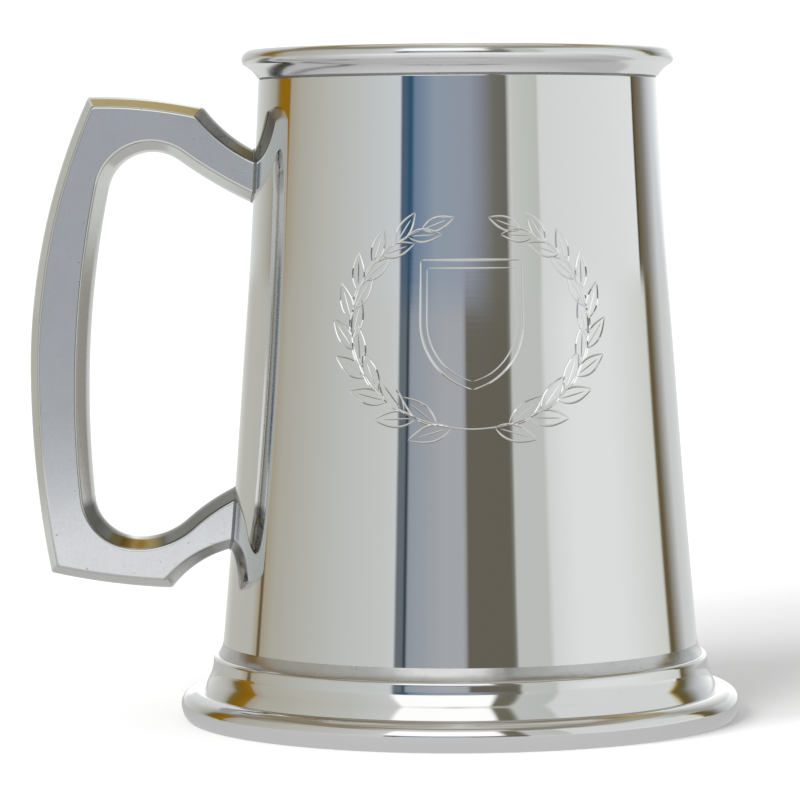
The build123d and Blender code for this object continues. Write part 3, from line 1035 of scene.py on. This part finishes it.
HIGH_ROOM = (
    (-180, WHITE), (-172, WHITE), (-163, (202, 205, 205)), (-137, WALL), (-131, (160, 157, 148)),
    (-127, (110, 98, 52)), (-122, (120, 88, 20)), (-113.5, DARK_GOLD), (-112, OCHRE), (-104, SAND),
    (-78, (178, 176, 167)), (-50, (184, 186, 181)), (-33, (196, 197, 197)), (-31.5, WHITE),
    (16.5, WHITE), (17.5, OLIVE), (25, OLIVE), (28, BLIND), (44, (180, 184, 180)), (47, BRIGHT),
    (114, BRIGHT), (117, (186, 180, 152)), (118.5, (126, 104, 46)), (121, (98, 84, 42)),
    (125, (96, 88, 64)), (131, (146, 146, 140)), (137, (178, 180, 182)), (144, (196, 200, 203)),
    (172, WHITE), (180, WHITE),
)
UPPER_ROOM = (
    (-180, WHITE), (-173, BRIGHT), (-150, (198, 200, 199)), (-138, (176, 174, 166)),
    (-125, (120, 113, 96)), (-106, (140, 133, 120)), (-84, SAND), (-45, (186, 187, 182)),
    (45, (186, 187, 182)), (100, (200, 201, 197)), (126, (160, 160, 154)), (134, (150, 150, 144)),
    (148, (184, 185, 182)), (160, BRIGHT), (180, WHITE),
)
TOP_ROOM = (
    (-180, (178, 162, 116)), (-160, (174, 157, 110)), (-146, (136, 122, 96)), (-120, (124, 117, 98)),
    (-60, (134, 125, 106)), (-30, (196, 196, 190)), (18, (196, 196, 190)), (28, (126, 122, 112)),
    (60, (136, 131, 120)), (105, (158, 154, 144)), (140, (150, 142, 120)), (152, (168, 150, 100)),
    (180, (178, 162, 116)),
)
BRASS_ROOM = (
    (-180, GILT), (-164, GILT), (-152, (142, 116, 84)), (-140, (130, 122, 104)), (-60, (134, 125, 106)),
    (60, (136, 131, 120)), (140, (150, 142, 120)), (150, GILT), (180, GILT),
)
ZENITH = (
    (-180, (208, 208, 202)), (-90, (150, 142, 132)), (0, (192, 191, 186)), (90, (160, 156, 148)),
    (180, (208, 208, 202)),
)
BANDS = (  # a band's colours, the height of its lower border in front and behind, and its blend
    (MIDDLE_ROOM, 5.55, -1.6, 0.2),
    (HIGH_ROOM, 13.5, -3.0, 0.8),
    (UPPER_ROOM, 47.0, 6.0, 2.5),
    (TOP_ROOM, 47.5, 38.0, 1.5),
    (BRASS_ROOM, 60.0, 44.5, 1.0),
    (ZENITH, 68.0, 50.5, 2.0),
)
CAMERA_WHITE = 1.1  # how bright the backdrop looks to the camera


def linear(colour):
    """A colour from 0-255 screen values to linear light."""
    share = np.array(colour) / 255
    return tuple(np.where(share <= 0.04045, share / 12.92, ((share + 0.055) / 1.055) ** 2.4))


def room_ramp(n, azimuth, stops):
    """The room's colours round one band of heights."""
    ramp = n.add("ValToRGB", {"Fac": azimuth})["Color"]
    elements = ramp.node.color_ramp.elements
    while len(elements) < len(stops):
        elements.new(0.5)
    for element, (angle, colour) in zip(elements, stops):
        element.position = (angle + 180) / 360
        element.color = (*linear(colour), 1)
    return ramp


def make_room():
    """A soft, bright room for the metal to reflect. The camera itself sees plain white."""
    world = bpy.data.worlds.new("room")
    bpy.context.scene.world = world
    world.use_nodes = True
    n = Nodes(world.node_tree)
    x, y, z = n.add("SeparateXYZ", {0: n.add("TexCoord")["Generated"]})
    turn = n.math("ARCTAN2", x, n.times(y, -1.0))
    azimuth = n.span(turn, -math.pi, math.pi)
    height = n.times(n.math("ARCSINE", z), 180 / math.pi)
    front = n.math("COSINE", n.times(turn, 0.5))
    floor_share = n.span(height, *FAR_FLOOR_EDGE)
    colour = n.mix(floor_share, room_ramp(n, azimuth, FAR_FLOOR), room_ramp(n, azimuth, LOW_ROOM))
    for stops, front_height, back_height, blend in BANDS:
        border = n.math("MULTIPLY_ADD", front, front_height - back_height, back_height)
        above = n.span(n.math("SUBTRACT", height, border), -blend, blend, smooth=True)
        colour = n.mix(above, colour, room_ramp(n, azimuth, stops))
    seen, even, white = (
        n.add("Background", {"Color": light, "Strength": strength})[0]
        for light, strength in (
            (colour, 1 / METAL_SHARE), ((1, 1, 1, 1), FLOOR_FILL), ((1, 1, 1, 1), CAMERA_WHITE)
        )
    )
    path = n.add("LightPath")
    shader = n.mix_shaders(path["Is Diffuse Ray"], seen, even)
    n.add("OutputWorld", {"Surface": n.mix_shaders(path["Is Camera Ray"], shader, white)})


# --- Floor, light and camera, in metres ---
FLOOR_RADIUS = 0.60
FLOOR_CORNERS = 128
FLOOR_COLOUR = (0.92, 0.92, 0.92, 1)
FLOOR_FILL = 0.66  # light from all round on the floor
MIRRORED_FLOOR = (0.56, 0.98)  # how bright the floor looks in the metal: beside it, and in front
MIRRORED_REACH = 0.25  # how far in front it is at its brightest
MIRROR_EDGE = 0.37  # radius of the part of the floor that the metal reflects
LIGHT_HEADINGS = ((0.48, 0.88), (0.80, 0.60))  # the ways the light travels over the floor
LIGHT_HEIGHT = 24.0  # degrees
LIGHT_SPREAD = 22.0
LIGHT_STRENGTH = 4.1
CAMERA_PLACE = Vector((0.0, -0.7473, 0.10096))
CAMERA_TARGET = Vector((-0.01108, 0.0, 0.05946))
CAMERA_ROLL = math.radians(-0.335)
CAMERA_LENS = 179.2  # millimetres, like the sensor's width
SENSOR_WIDTH = 36


def make_floor_plane():
    """A plain pale floor. In reflections it is a painted glow, not lit: dimmer than the camera sees it
    and brighter towards the front.
    """
    mesh = bpy.data.meshes.new("floor")
    angle = np.radians(np.arange(FLOOR_CORNERS) * 360 / FLOOR_CORNERS)
    mesh.from_pydata(on_circle(angle, FLOOR_RADIUS, 0).tolist(), [], [list(range(FLOOR_CORNERS))])
    floor = add_object("floor", mesh)
    material, n = new_material("pale_floor")
    lit = n.add("BsdfDiffuse", {"Color": FLOOR_COLOUR})[0]
    place = n.add("TexCoord")["Object"]
    ahead = n.times(n.add("SeparateXYZ", {0: place})[1], -1.0)
    # The painted glow that the metal reflects in place of the lit floor.
    glow = n.add("Emission", {"Strength": n.span(ahead, 0.0, MIRRORED_REACH, *MIRRORED_FLOOR)})[0]
    centre = (0, MIRROR_EDGE - FLOOR_RADIUS, 0)
    away = n.add("VectorMath", {0: place, 1: centre}, operation="DISTANCE")["Value"]
    beyond = n.math("GREATER_THAN", away, MIRROR_EDGE)
    mirrored = n.mix_shaders(beyond, glow, n.add("BsdfTransparent")[0])
    shader = n.mix_shaders(n.add("LightPath")["Is Camera Ray"], mirrored, lit)
    n.add("OutputMaterial", {"Surface": shader})
    mesh.materials.append(material)


def make_light():
    """Two large soft lights from the left and front, whose shadows overlap."""
    rise = math.radians(LIGHT_HEIGHT)
    for heading in LIGHT_HEADINGS:
        light = bpy.data.lights.new("window", "SUN")
        light.energy = LIGHT_STRENGTH / len(LIGHT_HEADINGS)
        light.angle = math.radians(LIGHT_SPREAD)
        along = Vector((*heading, 0)).normalized() * math.cos(rise)
        travel = Vector((along.x, along.y, -math.sin(rise)))
        lamp = add_object("window", light)
        lamp.rotation_euler = travel.to_track_quat("-Z", "Y").to_euler()
        lamp.location = -travel
        lamp.visible_glossy = False


def make_camera():
    """A long lens a little below the lip, looking slightly down."""
    data = bpy.data.cameras.new("camera")
    data.sensor_width = SENSOR_WIDTH
    data.lens = CAMERA_LENS
    camera = add_object("camera", data)
    camera.location = CAMERA_PLACE
    look = (CAMERA_TARGET - CAMERA_PLACE).to_track_quat("-Z", "Y")
    camera.rotation_mode = "QUATERNION"
    camera.rotation_quaternion = look @ Quaternion((0, 0, 1), CAMERA_ROLL)
    bpy.context.scene.camera = camera


# --- The scene ---
# Pewter of the barrel, the lip, the foot and the handle, then the solder, then the satin inside
bright_pewter = metal("polished_pewter", PEWTER, 0.03, spun=1e-7, waves=1.5e-5)
lip_pewter = metal("lip_pewter", PEWTER, 0.12, spun=1e-7, waves=9e-5, wave_scale=110, mottling=0.03)
foot_pewter = metal("foot_pewter", PEWTER, 0.05, spun=1e-7, waves=1.4e-4, wave_scale=95, mottling=0.03)
# The handle's edges carry painted shade in their hollow corners and on the lower arch.
cast_edges = metal(
    "cast_edges", (0.69, 0.69, 0.675), 0.09, waves=2e-5, pits=0.4, mottling=0.08, painted_shade=0.85
)
cast_sides = metal("cast_sides", (0.74, 0.755, 0.775), 0.11, waves=6e-5, pits=0.5, mottling=0.1)
seam_metal = metal(
    "solder", (0.30, 0.31, 0.32), 0.25, waves=6e-5, wave_scale=600, pits=0.8, mottling=0.9
)
fillet_metal = metal(
    "polished_solder", (0.60, 0.60, 0.61), 0.16, waves=1.2e-4, wave_scale=180, pits=0.3, mottling=0.25
)
inner_pewter = metal("inner_pewter", (0.66, 0.655, 0.64), 0.38, spun=4e-7, mottling=0.12, shine=0.4)
inner_solder = metal("inner_solder", (0.50, 0.50, 0.50), 0.4, waves=6e-5, mottling=0.3, shine=0.4)

make_barrel(bright_pewter, inner_pewter)
make_rim(lip_pewter, seam_metal)
make_foot(foot_pewter, fillet_metal)
make_floor(inner_pewter, inner_solder)
upper_loop, lower_loop = make_handle(cast_edges, cast_sides)
make_joint("upper_joint", "upper_handle_solder", upper_loop, seam_metal)
make_joint("lower_joint", "lower_handle_solder", lower_loop, seam_metal)

make_room()
make_floor_plane()
make_light()
make_camera()
bpy.context.scene.view_settings.view_transform = "Standard"
